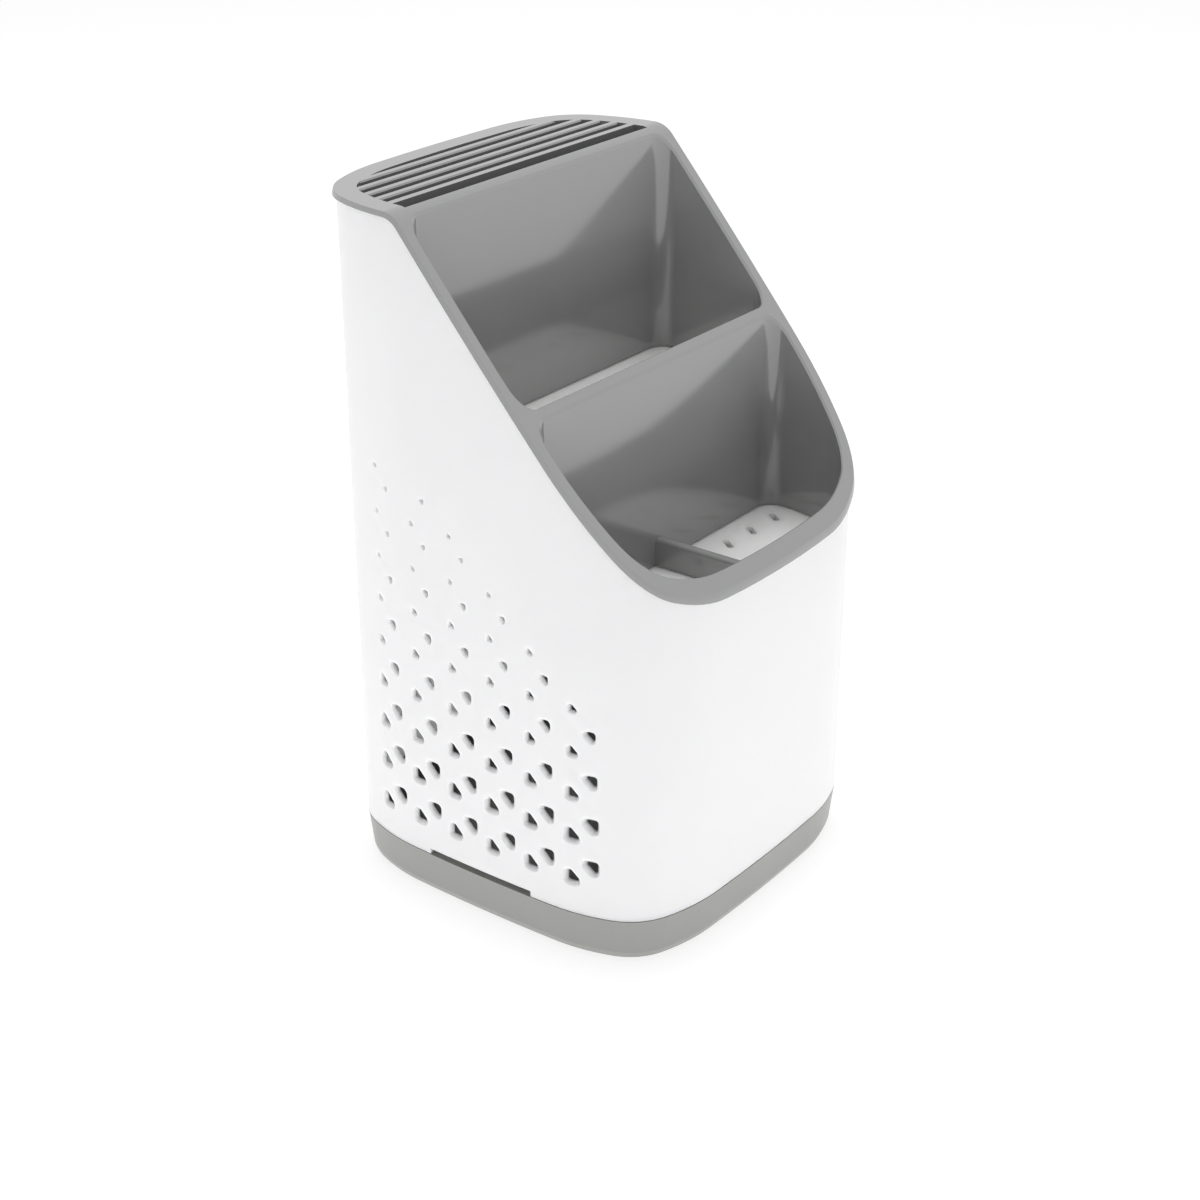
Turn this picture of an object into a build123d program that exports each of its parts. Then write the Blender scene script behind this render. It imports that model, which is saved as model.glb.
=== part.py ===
from build123d import *
import os
from math import atan, cos, degrees, radians, sin, tan

# Plan of the body: four shallow sides, joined to the corners by tighter shoulders
body_width = 116.8
body_depth = 117.0
side_half_sweep = 2.3
shoulder_radius = 56.0
shoulder_sweep = 19.2
corner_radius = 19.2

# Heights above the surface that the drainer stands on, and depths of the inner levels below its top
overall_height = 201.0
tray_height = 13.4
front_floor_depth = 107.0
rear_floor_depth = 66.0
knife_skirt_depth = 23.0

# Top of the drainer: level at the back, then sloping down to the front
bend_place = 22.2
slope_rise = 1.155
bend_radius = 8.0

# Walls and fits
shell_wall = 1.3
insert_wall = 1.2
slide_gap = 0.25
seat_gap = 0.3
tray_gap = 0.3

# Rim of the insert
rim_overhang = 1.2
rim_thickness = 1.4
rim_edge_top = 1.0
rim_edge_drop = 0.4
rim_edge_side = 0.35
rim_inner_break = 0.6

# Cutlery wells
divider_front = -19.2
divider_thickness = 2.3
rear_wall_front = 20.9
rear_wall_thickness = 3.0
well_corner_radius = 5.0
front_rib_thickness = 3.0
front_rib_height = 8.4
front_rib_round = 1.0

# Knife grille behind the rear well
grille_border = 5.8
grille_shift = 0.6
bar_count = 5
bar_width = 2.5
bar_height = 4.0
bar_break = 0.4
front_slot_width = 4.4
rear_slot_width = 1.7

# Drain deck under the wells
deck_thickness = 2.0
drain_slot_length = 5.2
drain_slot_width = 1.8
drain_slot_corner = 0.55
drain_slot_angle = 53.0
drain_slot_pitch = 12.0
drain_slot_first = 11.3
drain_slots_each_side = 4
front_slot_row = -27.0
rear_slot_row = -4.0
ledge_width = 1.6
ledge_reach = 4.3
ledge_height = 12.0
front_ledge_place = 18.0

# Drip tray
tray_inset = 1.2
tray_bottom_round = 2.6
tray_round_steps = 2
tray_floor = 2.2
collar_wall = 1.5
collar_height = 5.0
foot_band = 8.0
foot_recess = 0.5
vent_length = 36.6
vent_height = 1.3
collar_break = 40.0

# Triangular vents in both sides
vent_pitch = 13.4
vent_row_pitch = 13.3
vent_columns = 6
vent_rows = 9
first_column_place = 32.3
first_row_height = 26.9
pair_side_shift = 1.7
pair_rise = 4.45
vent_leg = 7.0
vent_smallest_leg = 3.1
vent_leg_loss = 1.05
vent_full_rows = 1.2
vent_top_depth = 89.5
vent_top_rise = 0.8

slope_angle = degrees(atan(slope_rise))
front_floor_height = overall_height - front_floor_depth
rear_floor_height = overall_height - rear_floor_depth
knife_skirt_height = overall_height - knife_skirt_depth
vent_top_height = overall_height - vent_top_depth
divider_rear = divider_front + divider_thickness
rear_wall_rear = rear_wall_front + rear_wall_thickness
first_bar_place = rear_wall_rear + front_slot_width
grille_rear = body_depth / 2 - grille_border + grille_shift
bar_pitch = (grille_rear - rear_slot_width - bar_width - first_bar_place) / (bar_count - 1)
shell_bottom = tray_height + seat_gap
insert_outside = -(shell_wall + slide_gap)
insert_inside = insert_outside - insert_wall
reach = body_width + body_depth


def side_radii():
    """Radii of the long side arcs that make the plan close at the body's width and depth."""
    low = radians(side_half_sweep)
    high = radians(side_half_sweep + shoulder_sweep)
    shoulder = shoulder_radius * (cos(low) - cos(high) + sin(high) - sin(low))
    corner = corner_radius * (cos(high) - sin(high))
    across = body_width / 2 - shoulder - corner
    along = body_depth / 2 - shoulder - corner
    a = 1 - cos(low)
    b = sin(low)
    scale = a * a - b * b
    return (across * a - along * b) / scale, (along * a - across * b) / scale


def plan(offset):
    """Face of the body's plan outline, moved outwards by offset."""
    side, end = side_radii()
    corner_sweep = 90 - 2 * (side_half_sweep + shoulder_sweep)
    low = radians(side_half_sweep)
    turns = []
    for first in (side, end, side, end):
        turns.append((first, 2 * side_half_sweep))
        turns.append((shoulder_radius, shoulder_sweep))
        turns.append((corner_radius, corner_sweep))
        turns.append((shoulder_radius, shoulder_sweep))
    centre = body_width / 2 - side
    start = Vector(centre + (side + offset) * cos(low), -(side + offset) * sin(low))
    heading = Vector(sin(low), cos(low))
    arcs = []
    for radius, sweep in turns:
        arc = JernArc(start=start, tangent=heading, radius=radius + offset, arc_size=sweep)
        arcs.append(arc)
        start = arc @ 1
        heading = arc % 1
    return make_face(arcs)


def column(offset, bottom, top):
    """Upright prism on the plan outline, from bottom to top."""
    return Pos(0, 0, bottom) * extrude(plan(offset), top - bottom)


def under_top(depth):
    """Everything below the drainer's bent top surface, lowered square to it by depth."""
    level = overall_height - depth
    bend = bend_place + depth * tan(radians(slope_angle / 2))
    low = level - slope_rise * (bend + reach)
    profile = Polyline((reach, low), (reach, level), (bend, level), (-reach, low), close=True)
    face = make_face(profile)
    corner = face.vertices().sort_by_distance((bend, level))[0]
    face = fillet(corner, bend_radius - depth)
    upright = Plane(origin=(-reach, 0, 0), x_dir=(0, 1, 0), z_dir=(1, 0, 0))
    return extrude(upright * face, 2 * reach)


def band(face, near, far):
    """Part of a plan face between two places along the depth."""
    strip = Pos(0, (near + far) / 2) * Rectangle(reach, far - near)
    return face & strip


def well(near, far):
    """Upright cutter for a well: the insert's inner outline between near and far, corners rounded."""
    face = band(plan(insert_inside), near, far)
    cutter = Pos(0, 0, front_floor_height) * extrude(face, overall_height)
    corners = []
    for edge in cutter.edges().filter_by(Axis.Z):
        place = edge.center().Y
        if min(abs(place - near), abs(place - far)) < 0.01:
            corners.append(edge)
    return fillet(corners, well_corner_radius)


def block(low, high):
    """Box between two opposite corners."""
    size = [b - a for a, b in zip(low, high)]
    middle = [(a + b) / 2 for a, b in zip(low, high)]
    return Pos(*middle) * Box(*size)


def vent_triangle(place, height, leg, turn):
    """Right triangle of a pair, its square corner at the front top (turn 1) or the rear bottom (turn -1)."""
    corner = (place - turn * (pair_side_shift + leg / 2), height + turn * pair_rise)
    along = (corner[0] + turn * leg, corner[1])
    down = (corner[0], corner[1] - turn * leg)
    return make_face(Polyline(corner, along, down, close=True))


def vent_cutters():
    """All triangular vents: pairs in rows and columns that shrink upwards and stop below the slope."""
    side = Plane(origin=(-reach, 0, 0), x_dir=(0, 1, 0), z_dir=(1, 0, 0))
    cutters = []
    for number in range(vent_columns):
        for row in range(vent_rows):
            leg = vent_leg - vent_leg_loss * max(0, row - vent_full_rows)
            leg = max(leg, vent_smallest_leg)
            place = first_column_place - vent_pitch * number
            height = first_row_height + vent_row_pitch * row
            for turn in (1, -1):
                triangle = vent_triangle(place, height, leg, turn)
                middle = triangle.bounding_box().center()
                if middle.Y < vent_top_height + vent_top_rise * middle.X:
                    cutters.append(extrude(side * triangle, 2 * reach))
    return cutters


def ledge(x, y, turn, level):
    """Upright fin on the shell's inner wall with its top at level, tapered away at its foot."""
    low = level - ledge_height
    inner = -ledge_reach
    profile = Polyline((0, low), (0, level), (inner, level), (inner, level - ledge_height / 2), close=True)
    upright = Plane(origin=(0, ledge_width / 2, 0), x_dir=(1, 0, 0), z_dir=(0, -1, 0))
    fin = extrude(upright * make_face(profile), ledge_width)
    return Pos(x, y) * Rot(0, 0, turn) * fin


def ledges():
    """Fins under both levels of the drain deck: on the front wall and between the vents at the sides."""
    half = body_width / 2
    low = front_floor_height - deck_thickness - seat_gap
    high = rear_floor_height - deck_thickness - seat_gap
    fins = []
    for x in (-front_ledge_place, front_ledge_place):
        fins.append(ledge(x, -body_depth / 2, -90, low))
    for column_gap, level in ((4.5, low), (2.5, high), (1.5, high)):
        y = first_column_place - vent_pitch * column_gap
        fins.append(ledge(half, y, 0, level))
        fins.append(ledge(-half, y, 180, level))
    inside = column(-shell_wall / 2, 0, overall_height)
    return [fin & inside for fin in fins]


def make_outer_body():
    """White shell: an upright tube with the sloping top, vents, slits and ledges."""
    shell = column(0, shell_bottom, overall_height) - column(-shell_wall, 0, overall_height)
    shell = shell & under_top(rim_thickness + seat_gap)
    shell = shell - vent_cutters()
    slit = block((-reach, -vent_length / 2, 0), (reach, vent_length / 2, shell_bottom + vent_height))
    shell = shell - slit
    for fin in ledges():
        shell = shell + fin
    return shell


def facing(shape, low, high):
    """Edges of the faces whose middle points up by between low and high."""
    edges = ShapeList()
    for face in shape.faces():
        if low <= face.normal_at(face.center()).Z <= high:
            edges += face.edges()
    return edges


def shared(first, second):
    """Edges that are in both lists."""
    return ShapeList(edge for edge in first if any(edge.is_same(other) for other in second))


def make_rim():
    """Plate that follows the bent top, its outer edge eased in two steps."""
    rim = column(rim_overhang, 0, overall_height) & (under_top(0) - under_top(rim_thickness))
    rim = chamfer(shared(facing(rim, 0.3, 1), facing(rim, -0.1, 0.1)), rim_edge_drop, rim_edge_top)
    return chamfer(shared(facing(rim, 0.1, 0.65), facing(rim, -0.1, 0.1)), rim_edge_side)


def ease_well(insert, near, far):
    """Insert with the rim's edge broken around the well between near and far."""
    edges = ShapeList()
    inside = body_width / 2 + insert_inside
    for edge in shared(facing(insert, 0.3, 1), facing(insert, -0.1, 0.1)):
        places = [edge @ 0, edge @ 0.5, edge @ 1]
        along = all(near - 0.01 < place.Y < far + 0.01 for place in places)
        if along and all(abs(place.X) < inside + 0.01 for place in places):
            edges.append(edge)
    return chamfer(edges, rim_inner_break)


def make_insert():
    """Grey insert: overhanging rim, walls of the two wells, rib and knife grille in one moulding."""
    walls = column(insert_outside, front_floor_height + seat_gap, overall_height)
    walls = walls & under_top(rim_thickness / 2)
    walls = walls - block((-reach, divider_rear, 0), (reach, reach, rear_floor_height + seat_gap))
    walls = walls - block((-reach, rear_wall_rear, 0), (reach, reach, knife_skirt_height))
    insert = make_rim() + walls
    insert = insert - well(-reach, divider_front)
    insert = insert - well(divider_rear, rear_wall_front)
    knife_space = band(plan(insert_inside), rear_wall_rear, reach)
    insert = insert - extrude(knife_space, overall_height - bar_height)
    insert = ease_well(insert, -body_depth / 2, divider_front)
    insert = ease_well(insert, divider_rear, rear_wall_front)
    for slot in knife_slots():
        insert = insert - extrude(slot, reach)
    level = insert.faces().sort_by(Axis.Z)[-1]
    bar_edges = ShapeList(edge for wire in level.inner_wires() for edge in wire.edges().filter_by(Axis.X))
    insert = chamfer(bar_edges, bar_break)
    return insert + front_rib()


def knife_slots():
    """Plans of the slots between the grille's bars, cut to the opening behind the rear well."""
    opening = Pos(0, grille_shift) * plan(-grille_border)
    near = rear_wall_rear
    far = first_bar_place
    slots = []
    for _ in range(bar_count + 1):
        slots.append(band(opening, near, far))
        near = far + bar_width
        far = near + bar_pitch - bar_width
    return slots


def front_rib():
    """Low rib along the middle of the front well, rounded along its top."""
    low = front_floor_height + seat_gap
    high = front_floor_height + front_rib_height
    half = front_rib_thickness / 2
    rib = block((-half, -body_depth / 2, low), (half, divider_front + divider_thickness / 2, high))
    rib = fillet(rib.edges().filter_by(Axis.Y).group_by(Axis.Z)[-1], front_rib_round)
    return rib & column(insert_outside, 0, overall_height)


def make_drain_deck():
    """White deck: the floors of both wells and the step between them."""
    fit = -(shell_wall + slide_gap)
    step = divider_rear + slide_gap
    low = front_floor_height - deck_thickness
    under_rear = rear_floor_height - deck_thickness
    deck = column(fit, low, rear_floor_height) & block((-reach, -reach, 0), (reach, rear_wall_rear, reach))
    deck = deck - block((-reach, -reach, front_floor_height), (reach, step, reach))
    deck = deck - block((-reach, step + deck_thickness, 0), (reach, reach, under_rear))
    for slot in drain_slots():
        deck = deck - extrude(slot, overall_height)
    return deck


def drain_slots():
    """Plans of the slanting drain slots in both floors, their corners cut off."""
    slot = Rectangle(drain_slot_length, drain_slot_width)
    slot = chamfer(slot.vertices(), drain_slot_corner)
    slots = []
    for y in (front_slot_row, rear_slot_row):
        for number in range(drain_slots_each_side):
            x = drain_slot_first + drain_slot_pitch * number
            slots.append(Pos(x, y) * Rot(0, 0, drain_slot_angle) * slot)
            slots.append(Pos(-x, y) * Rot(0, 0, -drain_slot_angle) * slot)
    return slots


def tray_sections():
    """Plan faces up the dish: around its rounded bottom edge in steps, then straight to the top."""
    sections = []
    for step in range(tray_round_steps + 1):
        turn = radians(90 * step / tray_round_steps)
        inset = tray_inset + tray_bottom_round * (1 - sin(turn))
        sections.append(Pos(0, 0, tray_bottom_round * (1 - cos(turn))) * plan(-inset))
    sections.append(Pos(0, 0, tray_height) * plan(0))
    return sections


def make_drip_tray():
    """Grey tray: a dish with a shoulder for the shell and a collar that locates it."""
    dish = loft(tray_sections(), ruled=True)
    collar_outside = -(shell_wall + tray_gap)
    collar = column(collar_outside, tray_floor, tray_height + collar_height)
    half = collar_break / 2
    gaps = block((-reach, -half, tray_height), (reach, half, reach))
    tray = dish + (collar - gaps)
    tray = tray - column(collar_outside - collar_wall, tray_floor, reach)
    return tray - column(-foot_band, 0, foot_recess)


os.makedirs("parts", exist_ok=True)
export_step(make_drip_tray(), "parts/drip_tray.step")
export_step(make_outer_body(), "parts/outer_body.step")
export_step(make_drain_deck(), "parts/drain_deck.step")
export_step(make_insert(), "parts/insert.step")
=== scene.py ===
import math
import bpy
import numpy as np
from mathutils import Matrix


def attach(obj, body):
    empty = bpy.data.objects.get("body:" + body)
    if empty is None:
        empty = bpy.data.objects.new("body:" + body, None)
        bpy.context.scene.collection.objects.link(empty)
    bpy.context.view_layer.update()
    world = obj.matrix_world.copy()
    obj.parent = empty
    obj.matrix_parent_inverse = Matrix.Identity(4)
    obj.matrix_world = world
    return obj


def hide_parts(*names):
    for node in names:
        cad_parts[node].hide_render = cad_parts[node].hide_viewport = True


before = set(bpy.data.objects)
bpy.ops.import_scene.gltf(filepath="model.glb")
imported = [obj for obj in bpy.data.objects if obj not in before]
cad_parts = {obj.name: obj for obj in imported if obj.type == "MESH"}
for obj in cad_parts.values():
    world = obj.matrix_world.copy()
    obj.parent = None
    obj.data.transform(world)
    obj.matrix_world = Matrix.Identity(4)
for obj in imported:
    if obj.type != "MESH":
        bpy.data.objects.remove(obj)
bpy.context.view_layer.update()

# Camera of the photograph: place in metres, angles in degrees, lens in millimetres
CAMERA_PLACE = (-0.4579, -0.3445, 0.3548)
CAMERA_DOWN = 25.842
CAMERA_HEADING = 37.070
CAMERA_LENS = 66.234
CAMERA_SENSOR = 36.0

# Mouldings: the tints are linear, gloss is a roughness, and the orange peel's depth is in metres
SHELL_WHITE = {"tint": (0.95, 0.95, 0.945), "cloud": 0.02, "gloss": 0.32, "gloss_spread": 0.10,
               "peel_depth": 0.000015, "ior": 1.46, "translucence": 1.0}
DECK_WHITE = {"tint": (0.92, 0.92, 0.90), "cloud": 0.03, "gloss": 0.30, "gloss_spread": 0.10,
              "peel_depth": 0.000015, "ior": 1.46, "translucence": 1.0}
INSERT_GREY = {"tint": (0.255, 0.26, 0.256), "cloud": 0.05, "gloss": 0.12, "gloss_spread": 0.05,
               "peel_depth": 0.000006, "ior": 1.95, "translucence": 0.0}
TRAY_GREY = {"tint": (0.29, 0.293, 0.28), "cloud": 0.05, "gloss": 0.36, "gloss_spread": 0.12,
             "peel_depth": 0.000020, "ior": 1.50, "translucence": 0.0}

# Noises of the moulded skin: cells per metre and detail; and what the grain adds to the peel
CLOUD_NOISE = (28.0, 3.0)
FLOW_NOISE = (95.0, 4.0)
PEEL_NOISE = (900.0, 2.0)
GRAIN_NOISE = (3200.0, 1.0)
GRAIN_SHARE = 0.35

# How far light strays inside white plastic, in metres and by colour
STRAY_DEPTH = 0.003
STRAY_COLOUR = (1.0, 1.0, 0.95)

# Studio: the floor's half side in metres, what it reflects and gives off, seen directly and as a light; the
# sky as a light; and the softbox above the drainer, in metres and watts
FLOOR_HALF = 4.0
FLOOR_LIT = 0.35
FLOOR_GLOW = 0.75
FLOOR_BOUNCE = 0.9
FLOOR_RISE = 0.95
SKY_STRENGTH = 0.45
SOFTBOX_PLACE = (0.15, 0.1, 1.6)
SOFTBOX_TARGET = (0.0, 0.0, 0.1)
SOFTBOX_SIDE = 0.9
SOFTBOX_POWER = 14.5

# Shell in millimetres: the plan's width, depth and arcs, with sweeps in degrees, and the top's bend and slope
MILLIMETRE = 0.001
BODY_WIDTH = 116.8
BODY_DEPTH = 117.0
SIDE_HALF_SWEEP = 2.3
SHOULDER_RADIUS = 56.0
SHOULDER_SWEEP = 19.2
CORNER_RADIUS = 19.2
OVERALL_HEIGHT = 201.0
BEND_PLACE = 22.2
BEND_RADIUS = 8.0
SLOPE_RISE = 1.155
SHELL_WALL = 1.3
SHELL_BOTTOM = 13.7
SHELL_TOP_DEPTH = 1.7
SLIT_HALF = 18.3
SLIT_TOP = 15.4

# Vents in millimetres: their lattice, the shifts that part a pair, the triangles' legs, which shrink row by
# row, and the sloping line above which there are none; the solid's smallest leg settles which ones there are
VENT_PITCH = 13.4
VENT_ROW_PITCH = 13.3
VENT_COLUMNS = 6
VENT_ROWS = 9
FIRST_COLUMN = 32.3
FIRST_ROW = 26.9
PAIR_SIDE_SHIFT = 1.7
PAIR_RISE = 4.45
VENT_LEG = 7.0
VENT_LEG_LOSS = 1.05
VENT_FULL_ROWS = 1.2
VENT_SMALLEST_LEG = 2.2
SOLID_SMALLEST_LEG = 3.1
VENT_TOP = 111.5
VENT_TOP_RISE = 0.8

# Finer form of a vent, as shares of its leg: the corners' radius, how far the edge is drawn in at the inner
# skin, and the easing of the outer edge
VENT_ROUND = 0.21
VENT_DRAFT = 0.14
VENT_EASE = 0.045

# Mesh of the shell: corners of half a lattice cell from the cell's middle, steps along each side of it, rows
# of cells, a row between slit and vents, the level up to which rows stay, steps along each arc round an end,
# and the angle from which an edge looks sharp
HALF_CELL = np.array([[-0.5, 0.5], [-0.5, -0.5], [0.5, 0.5]]) * (VENT_PITCH, VENT_ROW_PITCH)
CELL_STEPS = 8
LATTICE_ROWS = 11
FOOT_ROW = 17.6
KEEP_LEVEL = 118.0
END_STEPS = (3, 14, 8, 2)
SHARP_ANGLE = math.radians(28.0)

# Fins inside the shell in millimetres: the bite is how far a side fin goes into the wall, and each side fin is
# given by its place between the vents' columns, counted from the rearmost, and its level
LEDGE_WIDTH = 1.6
LEDGE_REACH = 4.3
LEDGE_HEIGHT = 12.0
LEDGE_LOW = 91.7
LEDGE_HIGH = 132.7
LEDGE_BITE = 0.1
SIDE_LEDGES = ((4.5, LEDGE_LOW), (2.5, LEDGE_HIGH), (1.5, LEDGE_HIGH))
FRONT_LEDGE_PLACE = 18.0
FRONT_LEDGE_ROOT = 57.0


def add_value(group, name, value, low=0.0, high=1000.0):
    """Named number input of a node group."""
    socket = group.interface.new_socket(name, in_out="INPUT", socket_type="NodeSocketFloat")
    socket.default_value = value
    socket.min_value = low
    socket.max_value = high


def math_node(nodes, links, operation, first, second):
    """Math node on two inputs, each a socket or a number."""
    node = nodes.new("ShaderNodeMath")
    node.operation = operation
    for socket, value in zip(node.inputs, (first, second)):
        if isinstance(value, bpy.types.NodeSocket):
            links.new(value, socket)
        else:
            socket.default_value = value
    return node.outputs[0]


def noise(nodes, links, place, scale, detail):
    """Noise on Object coordinates, from 0 to 1; the scale is in cells per metre."""
    node = nodes.new("ShaderNodeTexNoise")
    node.inputs["Scale"].default_value = scale
    node.inputs["Detail"].default_value = detail
    links.new(place, node.inputs["Vector"])
    return node.outputs["Fac"]


def moulded_skin():
    """Group for injection-moulded plastic: cloudy tint, uneven gloss and a fine orange-peel height."""
    group = bpy.data.node_groups.new("moulded_skin", "ShaderNodeTree")
    colour = group.interface.new_socket("Tint", in_out="INPUT", socket_type="NodeSocketColor")
    colour.default_value = (0.5, 0.5, 0.5, 1.0)
    add_value(group, "Cloud", 0.03)
    add_value(group, "Gloss", 0.3)
    add_value(group, "Gloss Spread", 0.1)
    outlets = {"Colour": "NodeSocketColor", "Roughness": "NodeSocketFloat", "Height": "NodeSocketFloat"}
    for name, kind in outlets.items():
        group.interface.new_socket(name, in_out="OUTPUT", socket_type=kind)
    nodes = group.nodes
    links = group.links
    inputs = nodes.new("NodeGroupInput").outputs
    outputs = nodes.new("NodeGroupOutput").inputs
    place = nodes.new("ShaderNodeTexCoord").outputs["Object"]
    cloud = noise(nodes, links, place, *CLOUD_NOISE)
    flow = noise(nodes, links, place, *FLOW_NOISE)
    peel = noise(nodes, links, place, *PEEL_NOISE)
    grain = noise(nodes, links, place, *GRAIN_NOISE)
    centred = math_node(nodes, links, "SUBTRACT", cloud, 0.5)
    shift = math_node(nodes, links, "MULTIPLY", centred, inputs["Cloud"])
    scale = nodes.new("ShaderNodeVectorMath")
    scale.operation = "SCALE"
    links.new(inputs["Tint"], scale.inputs[0])
    links.new(math_node(nodes, links, "ADD", shift, 1.0), scale.inputs["Scale"])
    links.new(scale.outputs[0], outputs["Colour"])
    uneven = math_node(nodes, links, "SUBTRACT", flow, 0.5)
    spread = math_node(nodes, links, "MULTIPLY", uneven, inputs["Gloss Spread"])
    links.new(math_node(nodes, links, "ADD", spread, inputs["Gloss"]), outputs["Roughness"])
    fine = math_node(nodes, links, "MULTIPLY", grain, GRAIN_SHARE)
    links.new(math_node(nodes, links, "ADD", peel, fine), outputs["Height"])
    return group


def plastic(name, skin, finish):
    """Moulded plastic: the skin group feeds one Principled BSDF."""
    material = bpy.data.materials.new(name)
    material.use_nodes = True
    nodes = material.node_tree.nodes
    links = material.node_tree.links
    shader = nodes["Principled BSDF"]
    moulding = nodes.new("ShaderNodeGroup")
    moulding.node_tree = skin
    moulding.inputs["Tint"].default_value = (*finish["tint"], 1.0)
    moulding.inputs["Cloud"].default_value = finish["cloud"]
    moulding.inputs["Gloss"].default_value = finish["gloss"]
    moulding.inputs["Gloss Spread"].default_value = finish["gloss_spread"]
    links.new(moulding.outputs["Colour"], shader.inputs["Base Color"])
    links.new(moulding.outputs["Roughness"], shader.inputs["Roughness"])
    bump = nodes.new("ShaderNodeBump")
    bump.inputs["Strength"].default_value = 1.0
    bump.inputs["Distance"].default_value = finish["peel_depth"]
    links.new(moulding.outputs["Height"], bump.inputs["Height"])
    links.new(bump.outputs["Normal"], shader.inputs["Normal"])
    shader.inputs["IOR"].default_value = finish["ior"]
    shader.inputs["Subsurface Weight"].default_value = finish["translucence"]
    shader.inputs["Subsurface Radius"].default_value = STRAY_COLOUR
    shader.inputs["Subsurface Scale"].default_value = STRAY_DEPTH
    return material


def dress(node, material):
    """Give a CAD node its material."""
    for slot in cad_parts[node].material_slots:
        slot.material = material


def plan_arcs():
    """Breaks in the normal's angle, centres and radii of a quarter of the plan: side arc, shoulder, corner,
    shoulder, end arc, each starting where the last ends, the outer radii solved from width and depth."""
    low = np.radians(SIDE_HALF_SWEEP)
    high = np.radians(SIDE_HALF_SWEEP + SHOULDER_SWEEP)
    shoulder = SHOULDER_RADIUS * (np.cos(low) - np.cos(high) + np.sin(high) - np.sin(low))
    corner = CORNER_RADIUS * (np.cos(high) - np.sin(high))
    across = BODY_WIDTH / 2 - shoulder - corner
    along = BODY_DEPTH / 2 - shoulder - corner
    flat = 1 - np.cos(low)
    steep = np.sin(low)
    side = (across * flat - along * steep) / (flat ** 2 - steep ** 2)
    end = (along * flat - across * steep) / (flat ** 2 - steep ** 2)
    breaks = np.array([low, high, np.pi / 2 - high, np.pi / 2 - low])
    radii = np.array([side, SHOULDER_RADIUS, CORNER_RADIUS, SHOULDER_RADIUS, end])
    normals = np.stack([np.cos(breaks), np.sin(breaks)], axis=1)
    steps = (radii[:-1] - radii[1:])[:, None] * normals
    start = np.array([[BODY_WIDTH / 2 - side, 0.0]])
    return breaks, np.concatenate([start, start + np.cumsum(steps, axis=0)]), radii


def plan_points(angle, offset):
    """Points of the plan with the given normal angles: the arc's centre plus its radius along the normal."""
    breaks, centres, radii = plan_arcs()
    arc = np.searchsorted(breaks, angle)
    reach = radii[arc] + offset
    return centres[arc] + reach[:, None] * np.stack([np.cos(angle), np.sin(angle)], axis=1)


def side_distance(place, offset):
    """Half width of the plan at a depth: the arc centre's x plus the root of radius squared less the depth
    from that centre squared, on the side arc and past its end on the shoulder."""
    breaks, centres, radii = plan_arcs()
    far = np.abs(place)
    middle = centres[0, 0] + np.sqrt((radii[0] + offset) ** 2 - far ** 2)
    outer = centres[1, 0] + np.sqrt((radii[1] + offset) ** 2 - (far - centres[1, 1]) ** 2)
    return np.where(far < (radii[0] + offset) * np.sin(breaks[0]), middle, outer)


def shell_top(place):
    """Height of the shell's upper edge at a depth: level, an arc, then the straight slope to the front, all a
    fixed distance square below the rim's top."""
    slope = np.arctan(SLOPE_RISE)
    level = OVERALL_HEIGHT - SHELL_TOP_DEPTH
    bend = BEND_PLACE + SHELL_TOP_DEPTH * np.tan(slope / 2)
    radius = BEND_RADIUS - SHELL_TOP_DEPTH
    start = bend + radius * np.tan(slope / 2)
    arc = level - radius + np.sqrt(np.maximum(radius ** 2 - (place - start) ** 2, 0))
    straight = level - SLOPE_RISE * (bend - place)
    return np.where(place > start, level, np.where(place < start - radius * np.sin(slope), straight, arc))


def lifted(place, height):
    """Lattice height carried to the wall: kept up to a sloping line over the vents, above it spread evenly so
    that the lattice's last row lies on the shell's upper edge."""
    last_row = FIRST_ROW + (LATTICE_ROWS - 0.5) * VENT_ROW_PITCH
    keep = KEEP_LEVEL + VENT_TOP_RISE * place
    part = (height - keep) / (last_row - keep)
    return np.where(height > keep, keep + part * (shell_top(place) - keep), height)


def half_cells():
    """Middles, turns, legs and presence of the vents: two per lattice cell, one turned half round, the leg
    shrinking row by row, none whose solid's middle is above the sloping line."""
    column, row, turn = np.meshgrid(
        np.arange(VENT_COLUMNS), np.arange(LATTICE_ROWS), [1, -1], indexing="ij")
    column, row, turn = column.ravel(), row.ravel(), turn.ravel()
    middle = np.stack([FIRST_COLUMN - VENT_PITCH * column, FIRST_ROW + VENT_ROW_PITCH * row], axis=1)
    leg = np.maximum(VENT_LEG - VENT_LEG_LOSS * np.maximum(0, row - VENT_FULL_ROWS), VENT_SMALLEST_LEG)
    place = middle[:, 0] - turn * PAIR_SIDE_SHIFT
    height = middle[:, 1] + turn * (PAIR_RISE - np.maximum(leg, SOLID_SMALLEST_LEG) / 2)
    return middle, turn, leg, (row < VENT_ROWS) & (height < VENT_TOP + VENT_TOP_RISE * place)


def half_cell_border():
    """Points around half a lattice cell from its square corner: down, back along the diagonal, across."""
    corners = HALF_CELL[[0, 1, 2, 0]]
    part = np.arange(CELL_STEPS)[:, None] / CELL_STEPS
    return np.concatenate([corners[i] * (1 - part) + corners[i + 1] * part for i in range(3)])


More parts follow.
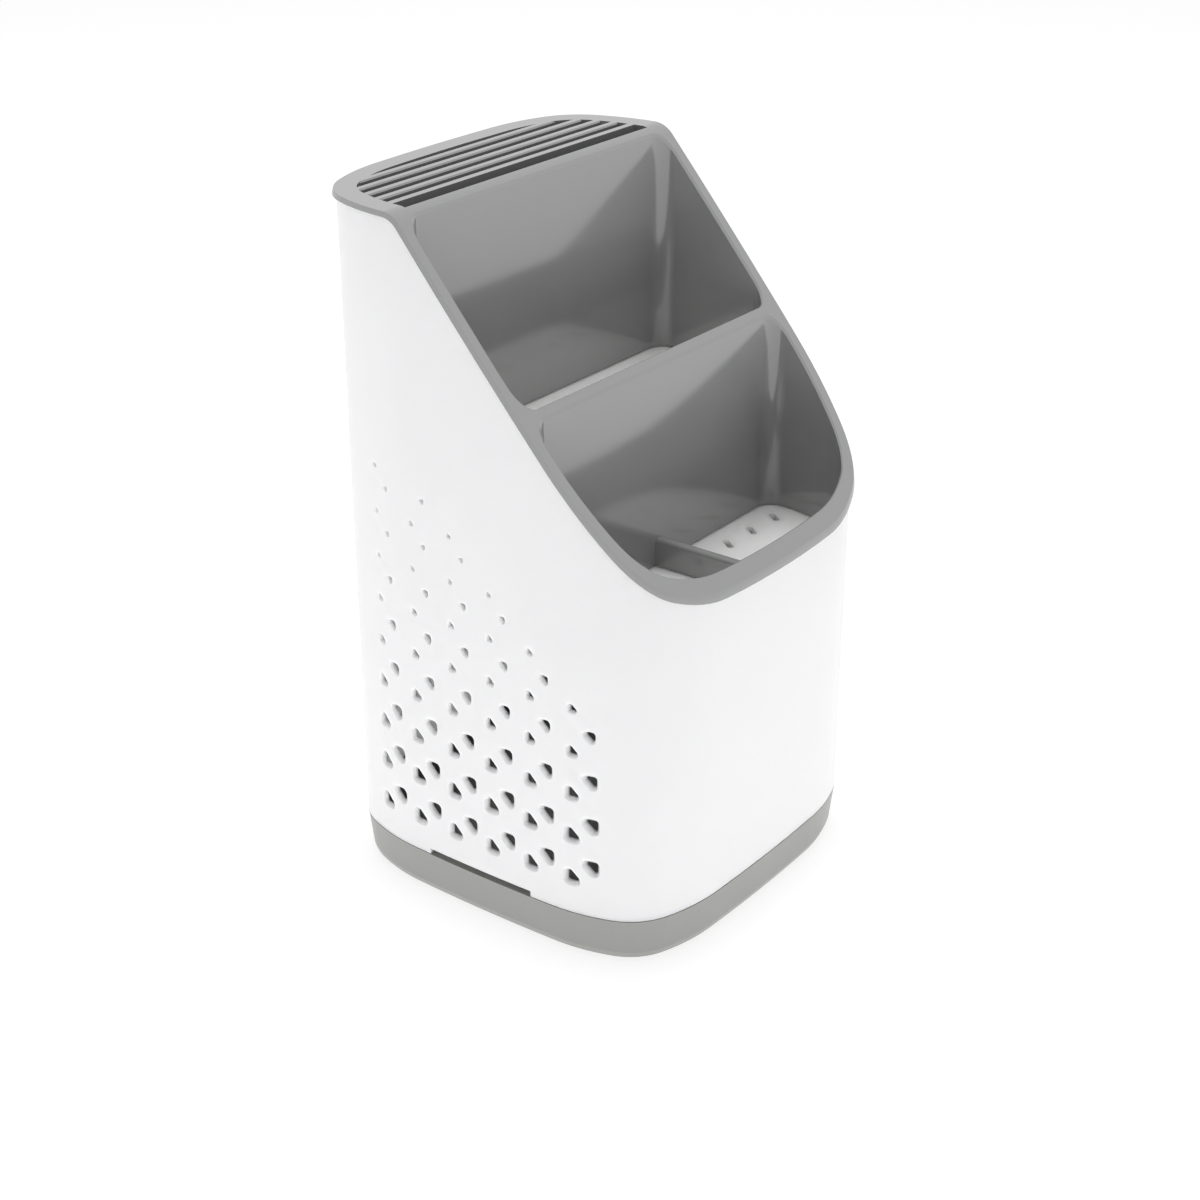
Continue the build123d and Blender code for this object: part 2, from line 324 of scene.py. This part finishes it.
def vent_border(leg, extra):
    """Triangle with rounded corners, grown by extra, in step with the half cell's border: each side runs from
    its first corner's bisector round the corner's arc, straight on, and round the next arc to its bisector."""
    radius = VENT_ROUND * leg
    corner = np.stack([-PAIR_SIDE_SHIFT - leg / 2, np.full_like(leg, PAIR_RISE)], axis=1)
    corners = corner[:, None] + leg[:, None, None] * np.array([[0.0, 0.0], [0.0, -1.0], [1.0, 0.0]])
    root = np.sqrt(0.5)
    normals = np.array([[-1.0, 0.0], [root, -root], [0.0, 1.0]])
    bisectors = normals + np.roll(normals, 1, axis=0)
    bisectors = bisectors / np.linalg.norm(bisectors, axis=1)[:, None]
    sharpness = np.sum(bisectors * normals, axis=1)
    centres = corners - (radius[:, None] / sharpness)[:, :, None] * bisectors
    reach = (radius + extra)[:, None, None]
    arc_steps = CELL_STEPS // 4
    straight_steps = CELL_STEPS - 2 * arc_steps
    part = np.arange(arc_steps + 1)[:, None] / arc_steps
    run = np.arange(1, straight_steps)[:, None] / straight_steps
    sides = []
    for side in range(3):
        after = (side + 1) % 3
        leaving = bisectors[side] * (1 - part) + normals[side] * part
        coming = normals[side] * (1 - part) + bisectors[after] * part
        first = centres[:, side, None] + reach * leaving / np.linalg.norm(leaving, axis=1)[:, None]
        last = centres[:, after, None] + reach * coming / np.linalg.norm(coming, axis=1)[:, None]
        straight = first[:, -1:] * (1 - run) + last[:, :1] * run
        sides.append(np.concatenate([first, straight, last[:, :-1]], axis=1))
    return np.concatenate(sides, axis=1)


def grid_faces(columns, rows):
    """Quads of a grid of points numbered up each column in turn."""
    number = np.arange(columns * rows).reshape(columns, rows)
    quads = [number[:-1, :-1], number[1:, :-1], number[1:, 1:], number[:-1, 1:]]
    return np.stack([quad.ravel() for quad in quads], axis=1)


def ring_faces(count, rings, points):
    """Quads between neighbouring rings of points, for a number of separate sets of rings."""
    here = np.arange(points)
    after = (here + 1) % points
    quads = [ring * points + np.stack([here, after, points + after, points + here], axis=1)
             for ring in range(rings - 1)]
    return (np.arange(count)[:, None, None] * rings * points + np.concatenate(quads)).reshape(-1, 4)


def triangle_grid(steps):
    """Even triangular grid over a triangle: each point's weights on its corners, and the faces."""
    i, j = np.meshgrid(np.arange(steps + 1), np.arange(steps + 1), indexing="ij")
    inside = i + j <= steps
    number = np.full(inside.shape, -1)
    number[inside] = np.arange(inside.sum())
    weights = np.stack([steps - i - j, i, j], axis=-1)[inside] / steps
    a, b, c, d = number[:-1, :-1], number[1:, :-1], number[:-1, 1:], number[1:, 1:]
    up = (b >= 0) & (c >= 0)
    down = d >= 0
    faces = [np.stack([a[up], b[up], c[up]], axis=1), np.stack([b[down], d[down], c[down]], axis=1)]
    return weights, np.concatenate(faces)


def vent_sheet(draft):
    """Half cells with a vent, laid flat: rings from the cell's border to the vent, drawn in by a share of the
    leg. Gives points, how far each sinks below the skin, and quads."""
    middle, turn, leg, there = half_cells()
    middle, turn, leg = middle[there], turn[there], leg[there]
    around = np.repeat(half_cell_border()[None], len(leg), axis=0)
    edge = -draft * leg
    ease = VENT_EASE * leg
    rings = np.stack([around, vent_border(leg, edge + ease), vent_border(leg, edge)], axis=1)
    rings = middle[:, None, None] + turn[:, None, None, None] * rings
    sunk = np.zeros(rings.shape[:3])
    sunk[:, 2] = ease[:, None]
    return rings.reshape(-1, 2), sunk.ravel(), ring_faces(len(leg), 3, 3 * CELL_STEPS)


def plain_sheet():
    """Half cells without a vent, laid flat: an even triangular grid over each. Gives points and triangles."""
    middle, turn, _, there = half_cells()
    middle, turn = middle[~there], turn[~there]
    weights, grid = triangle_grid(CELL_STEPS)
    points = middle[:, None] + turn[:, None, None] * (weights @ HALF_CELL)
    triangles = np.arange(len(points))[:, None, None] * len(weights) + grid
    return points.reshape(-1, 2), triangles.reshape(-1, 3)


def foot_sheet():
    """Side wall below the lattice, laid flat: a plain grid with the slit left open and a column of points
    moved to each of its ends. Gives points and quads."""
    steps = np.arange(VENT_COLUMNS * CELL_STEPS + 1) / CELL_STEPS
    places = FIRST_COLUMN - VENT_PITCH * (VENT_COLUMNS - 0.5 - steps)
    heights = np.array([SHELL_BOTTOM, SLIT_TOP, FOOT_ROW, FIRST_ROW - VENT_ROW_PITCH / 2])
    points = np.stack(np.meshgrid(places, heights, indexing="ij"), axis=-1)
    first = np.argmin(np.abs(places + SLIT_HALF))
    last = np.argmin(np.abs(places - SLIT_HALF))
    points[first, :2, 0] = -SLIT_HALF
    points[last, :2, 0] = SLIT_HALF
    quads = grid_faces(len(places), len(heights))
    column, row = np.divmod(quads[:, 0], len(heights))
    return points.reshape(-1, 2), quads[(row > 0) | (column < first) | (column >= last)]


def side_sheet(draft):
    """Side wall laid flat: half cells with and without vents, and the foot below them. Gives points, how far
    each sinks, quads and triangles."""
    vents, sunk, vent_quads = vent_sheet(draft)
    plain, triangles = plain_sheet()
    foot, foot_quads = foot_sheet()
    points = np.concatenate([vents, plain, foot])
    depth = np.concatenate([sunk, np.zeros(len(plain) + len(foot))])
    quads = np.concatenate([vent_quads, foot_quads + len(vents) + len(plain)])
    return points, depth, quads, triangles + len(vents)


def end_sheet(place, way, offset):
    """Wall around one end, way 1 for the rear and -1 for the front: a plan point for each column, at even
    steps of normal angle on each arc, and the lattice's rows carried up."""
    breaks, centres, radii = plan_arcs()
    start = np.arcsin((place - centres[1, 1]) / (radii[1] + offset))
    ends = [start, *breaks[1:], np.pi / 2]
    angles = [np.linspace(ends[i], ends[i + 1], steps, endpoint=False) for i, steps in enumerate(END_STEPS)]
    quarter = plan_points(np.concatenate([*angles, ends[-1:]]), offset)
    plan = np.concatenate([quarter, quarter[-2::-1] * [-1.0, 1.0]]) * [1.0, way]
    rows = FIRST_ROW + VENT_ROW_PITCH * (np.arange(LATTICE_ROWS * CELL_STEPS + 1) / CELL_STEPS - 0.5)
    rows = np.concatenate([[SHELL_BOTTOM, SLIT_TOP, FOOT_ROW], rows])
    across = np.repeat(plan[:, :1], len(rows), axis=1)
    along = np.repeat(plan[:, 1:], len(rows), axis=1)
    height = lifted(along, np.repeat(rows[None], len(plan), axis=0))
    return np.stack([across, along, height], axis=-1).reshape(-1, 3), grid_faces(len(plan), len(rows))


def wall_sheet(offset, sink, draft):
    """Whole wall at an offset from the plan: both side sheets bent to it, and both ends."""
    flat, depth, quads, triangles = side_sheet(draft)
    across = side_distance(flat[:, 0], offset) - sink * depth
    right = np.stack([across, flat[:, 0], lifted(flat[:, 0], flat[:, 1])], axis=1)
    rear_place = FIRST_COLUMN + VENT_PITCH / 2
    front_place = VENT_PITCH * (VENT_COLUMNS - 0.5) - FIRST_COLUMN
    rear, rear_quads = end_sheet(rear_place, 1, offset)
    front, front_quads = end_sheet(front_place, -1, offset)
    count = len(right)
    points = np.concatenate([right, right * [-1.0, 1.0, 1.0], rear, front])
    quads = np.concatenate([
        quads, quads[:, ::-1] + count,
        rear_quads + 2 * count, front_quads[:, ::-1] + 2 * count + len(rear)])
    return points, quads, np.concatenate([triangles, triangles[:, ::-1] + count])


def open_sides(*faces):
    """Directed edges that only one face uses."""
    edges = np.concatenate([np.stack([f, np.roll(f, -1, axis=1)], axis=-1).reshape(-1, 2) for f in faces])
    size = edges.max() + 1
    return edges[~np.isin(edges[:, 0] * size + edges[:, 1], edges[:, 1] * size + edges[:, 0])]


def shell_wall():
    """Wall of the shell: outer and inner sheets of one layout, points that meet made one, and a face from
    sheet to sheet along every open edge."""
    outer, quads, triangles = wall_sheet(0.0, 1.0, 0.0)
    inner = wall_sheet(-SHELL_WALL, 0.0, VENT_DRAFT)[0]
    _, first, same = np.unique(np.round(outer, 4), axis=0, return_index=True, return_inverse=True)
    same = same.ravel()
    quads, triangles = same[quads], same[triangles]
    count = len(first)
    sides = open_sides(quads, triangles)
    walls = np.stack([sides[:, 1], sides[:, 0], sides[:, 0] + count, sides[:, 1] + count], axis=1)
    points = np.concatenate([outer[first], inner[first]])
    quads = np.concatenate([quads, quads[:, ::-1] + count, walls])
    return points, quads, np.concatenate([triangles, triangles[:, ::-1] + count])


def ledge_fin(place, root, tip, level, turn):
    """Corners of a fin that stands out at an angle: a root inside the wall, a level top and a foot that
    tapers back to the wall, drawn out half its width to both sides."""
    low = level - LEDGE_HEIGHT
    outline = np.array([[root, low], [root, level], [tip, level], [tip, level - LEDGE_HEIGHT / 2]])
    out = np.array([np.cos(turn), np.sin(turn)])
    aside = np.array([-np.sin(turn), np.cos(turn)])
    halves = []
    for shift in (LEDGE_WIDTH / 2, -LEDGE_WIDTH / 2):
        plan = outline[:, :1] * out + (place + shift) * aside
        halves.append(np.concatenate([plan, outline[:, 1:]], axis=1))
    return np.concatenate(halves)


def ledge_fins():
    """Fins under both levels of the deck: two on the front wall, and between the vents at the sides."""
    front_tip = BODY_DEPTH / 2 - LEDGE_REACH
    side_tip = BODY_WIDTH / 2 - LEDGE_REACH
    fins = [ledge_fin(place, FRONT_LEDGE_ROOT, front_tip, LEDGE_LOW, -np.pi / 2)
            for place in (FRONT_LEDGE_PLACE, -FRONT_LEDGE_PLACE)]
    for gap, level in SIDE_LEDGES:
        place = FIRST_COLUMN - VENT_PITCH * gap
        root = float(side_distance(place, LEDGE_BITE - SHELL_WALL))
        fins.append(ledge_fin(place, root, side_tip, level, 0.0))
        fins.append(ledge_fin(-place, root, side_tip, level, np.pi))
    prism = np.array([[3, 2, 1, 0], [4, 5, 6, 7], [1, 5, 4, 0], [2, 6, 5, 1], [3, 7, 6, 2], [0, 4, 7, 3]])
    quads = (np.arange(len(fins))[:, None, None] * len(fins[0]) + prism).reshape(-1, 4)
    return np.concatenate(fins), quads


def moulded_shell(material):
    """White shell with its rounded vents, slits and ledges, in the place of the plainer solid."""
    points, quads, triangles = shell_wall()
    fin_points, fin_quads = ledge_fins()
    quads = np.concatenate([quads, fin_quads + len(points)])
    points = np.concatenate([points, fin_points]) * MILLIMETRE
    mesh = bpy.data.meshes.new("moulded_shell")
    mesh.from_pydata(points.tolist(), [], quads.tolist() + triangles.tolist())
    mesh.polygons.foreach_set("use_smooth", np.ones(len(mesh.polygons), dtype=bool))
    mesh.set_sharp_from_angle(angle=SHARP_ANGLE)
    mesh.materials.append(material)
    shell = bpy.data.objects.new("moulded_shell", mesh)
    bpy.context.scene.collection.objects.link(shell)
    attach(shell, "shell")
    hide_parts("outer_body")


def seen_directly(nodes, links):
    """1 for camera, mirror and glass rays, which should find a white background."""
    path = nodes.new("ShaderNodeLightPath").outputs
    seen = math_node(nodes, links, "MAXIMUM", path["Is Camera Ray"], path["Is Glossy Ray"])
    return math_node(nodes, links, "MAXIMUM", seen, path["Is Transmission Ray"])


def glowing_paper(nodes, links, reflected, glow):
    """Diffuse grey with a glow added to it."""
    paper = nodes.new("ShaderNodeBsdfDiffuse")
    paper.inputs["Color"].default_value = (reflected, reflected, reflected, 1.0)
    emission = nodes.new("ShaderNodeEmission")
    emission.inputs["Strength"].default_value = glow
    both = nodes.new("ShaderNodeAddShader")
    links.new(paper.outputs[0], both.inputs[0])
    links.new(emission.outputs[0], both.inputs[1])
    return both.outputs[0]


def studio_floor():
    """Pale floor that the camera and reflections see as white with the drainer's shadow in it."""
    mesh = bpy.data.meshes.new("studio_floor")
    half = FLOOR_HALF
    corners = [(-half, -half, 0), (half, -half, 0), (half, half, 0), (-half, half, 0)]
    mesh.from_pydata(corners, [], [(0, 1, 2, 3)])
    floor = bpy.data.objects.new("studio_floor", mesh)
    bpy.context.scene.collection.objects.link(floor)
    material = bpy.data.materials.new("floor_paper")
    material.use_nodes = True
    nodes = material.node_tree.nodes
    links = material.node_tree.links
    nodes.clear()
    mix = nodes.new("ShaderNodeMixShader")
    links.new(seen_directly(nodes, links), mix.inputs["Fac"])
    links.new(glowing_paper(nodes, links, FLOOR_BOUNCE, FLOOR_RISE), mix.inputs[1])
    links.new(glowing_paper(nodes, links, FLOOR_LIT, FLOOR_GLOW), mix.inputs[2])
    output = nodes.new("ShaderNodeOutputMaterial")
    links.new(mix.outputs[0], output.inputs["Surface"])
    mesh.materials.append(material)


def studio_sky():
    """White surroundings, dimmer as a light than as a background."""
    world = bpy.data.worlds.new("studio_sky")
    bpy.context.scene.world = world
    world.use_nodes = True
    nodes = world.node_tree.nodes
    links = world.node_tree.links
    nodes.clear()
    extra = math_node(nodes, links, "MULTIPLY", seen_directly(nodes, links), 1.0 - SKY_STRENGTH)
    background = nodes.new("ShaderNodeBackground")
    links.new(math_node(nodes, links, "ADD", extra, SKY_STRENGTH), background.inputs["Strength"])
    background.inputs["Color"].default_value = (1.0, 1.0, 1.0, 1.0)
    output = nodes.new("ShaderNodeOutputWorld")
    links.new(background.outputs[0], output.inputs["Surface"])


def top_softbox():
    """Square area lamp above the drainer, facing it."""
    light = bpy.data.lights.new("top_softbox", "AREA")
    light.shape = "SQUARE"
    light.size = SOFTBOX_SIDE
    light.energy = SOFTBOX_POWER
    lamp = bpy.data.objects.new("top_softbox", light)
    bpy.context.scene.collection.objects.link(lamp)
    lamp.location = SOFTBOX_PLACE
    across, along, up = (b - a for a, b in zip(SOFTBOX_PLACE, SOFTBOX_TARGET))
    tilt = math.atan2(math.hypot(across, along), -up)
    turn = math.atan2(along, across) - math.pi / 2
    lamp.rotation_euler = (tilt, 0.0, turn)


def photo_camera():
    """Camera at the photograph's place and angle."""
    data = bpy.data.cameras.new("photo_camera")
    data.lens = CAMERA_LENS
    data.sensor_width = CAMERA_SENSOR
    camera = bpy.data.objects.new("photo_camera", data)
    bpy.context.scene.collection.objects.link(camera)
    camera.location = CAMERA_PLACE
    camera.rotation_euler = (math.radians(90 - CAMERA_DOWN), 0.0, math.radians(CAMERA_HEADING - 90))
    bpy.context.scene.camera = camera


skin = moulded_skin()
moulded_shell(plastic("shell_white", skin, SHELL_WHITE))
dress("drain_deck", plastic("deck_white", skin, DECK_WHITE))
dress("insert", plastic("insert_grey", skin, INSERT_GREY))
dress("drip_tray", plastic("tray_grey", skin, TRAY_GREY))

studio_floor()
studio_sky()
top_softbox()
photo_camera()
bpy.context.scene.view_settings.view_transform = "Standard"
